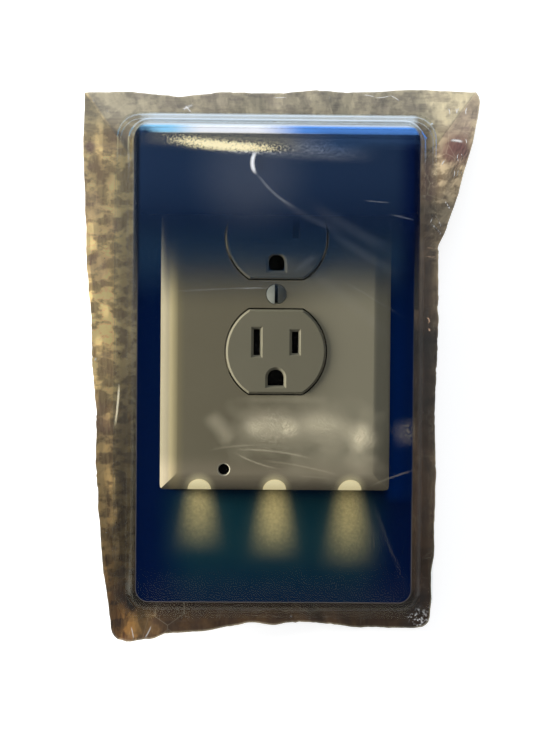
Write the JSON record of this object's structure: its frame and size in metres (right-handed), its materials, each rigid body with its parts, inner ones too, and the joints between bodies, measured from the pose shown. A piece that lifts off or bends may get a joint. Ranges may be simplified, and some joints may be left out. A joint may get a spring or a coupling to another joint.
{
  "type": "night light",
  "caption": "Wall plate night light with lit downlights, dusk sensor and sprung contact arms, held on a dark blue card in a clear hinged clamshell on its bag sheet",
  "frame": {"origin": "under the middle of the backing card in X and Y, on the surface that the pack lies on", "axes": "+Z out of the lamp's face, +Y towards the top of the plate and pack, +X to the right seen from above"},
  "size_m": [0.1385, 0.1943, 0.0362],
  "materials": {
    "ivory_plastic": "moulded plastic, satin",
    "cover_plastic": "moulded plastic, matte",
    "board_green": "solder mask",
    "led_body": "lit LED package",
    "lens_clear": "clear lens, lit warm white",
    "photocell": "photocell with a track pattern",
    "dark_window": "dark tinted window",
    "chip_black": "moulded package",
    "capacitor_yellow": "moulded package",
    "resistor_blue": "lacquer",
    "arm_plastic": "moulded plastic, matte",
    "spring_brass": "rolled strip",
    "wire_white": "insulation",
    "wire_black": "insulation",
    "screw_painted": "painted head",
    "screw_steel": "zinc plated",
    "former_plastic": "moulded plastic, matte",
    "card_blue": "dark blue printed board",
    "film_navy": "printed film, navy fading to clear",
    "shell_clear": "clear thermoformed sheet",
    "bag_clear": "thin clear film"
  },
  "bodies": {
    "pack": {"back_shell": "shell_clear", "bag_sheet": "bag_clear", "backing_card": "card_blue", "outlet_former": "former_plastic", "face_plate": "ivory_plastic", "rear_cover": "cover_plastic", "circuit_board": "board_green", "led_left": "led_body", "led_centre": "led_body", "led_right": "led_body", "light_lens_left": "lens_clear", "light_lens_centre": "lens_clear", "light_lens_right": "lens_clear", "light_sensor": "photocell", "sensor_window": "dark_window", "bridge_rectifier": "chip_black", "driver_chip": "chip_black", "storage_capacitor": "capacitor_yellow", "fuse_resistor": "resistor_blue", "chip_resistors": "chip_black", "lead_wire_left": "wire_white", "lead_wire_right": "wire_black", "cover_screws": "screw_steel"},
    "front_half": {"front_shell": "shell_clear", "header_film": "film_navy"},
    "arm_left": {"contact_arm_left": "arm_plastic", "contact_spring_left": "spring_brass"},
    "arm_right": {"contact_arm_right": "arm_plastic", "contact_spring_right": "spring_brass"},
    "screw": {"plate_screw": "screw_painted"}
  },
  "joints": [
    {"name": "clamshell_hinge", "type": "hinge", "parent": "pack", "child": "front_half", "pos_m": [-0.05435, 0, 0.0263], "axis": [0, -1, 0], "range_deg": [0, 180]},
    {"name": "arm_left_flex", "type": "hinge", "parent": "pack", "child": "arm_left", "pos_m": [-0.023, 0.01125, 0.0288], "axis": [0, 1, 0], "range_deg": [0, 7], "stiffness_Nm_per_rad": 0.3, "springref_deg": -5.73},
    {"name": "arm_right_flex", "type": "hinge", "parent": "pack", "child": "arm_right", "pos_m": [0.023, 0.01125, 0.0288], "axis": [0, -1, 0], "range_deg": [0, 7], "stiffness_Nm_per_rad": 0.3, "springref_deg": -5.73},
    {"name": "plate_screw_turn", "type": "hinge", "parent": "pack", "child": "screw", "pos_m": [0, 0.02425, 0.034], "axis": [0, 0, 1], "continuous": true}
  ]
}
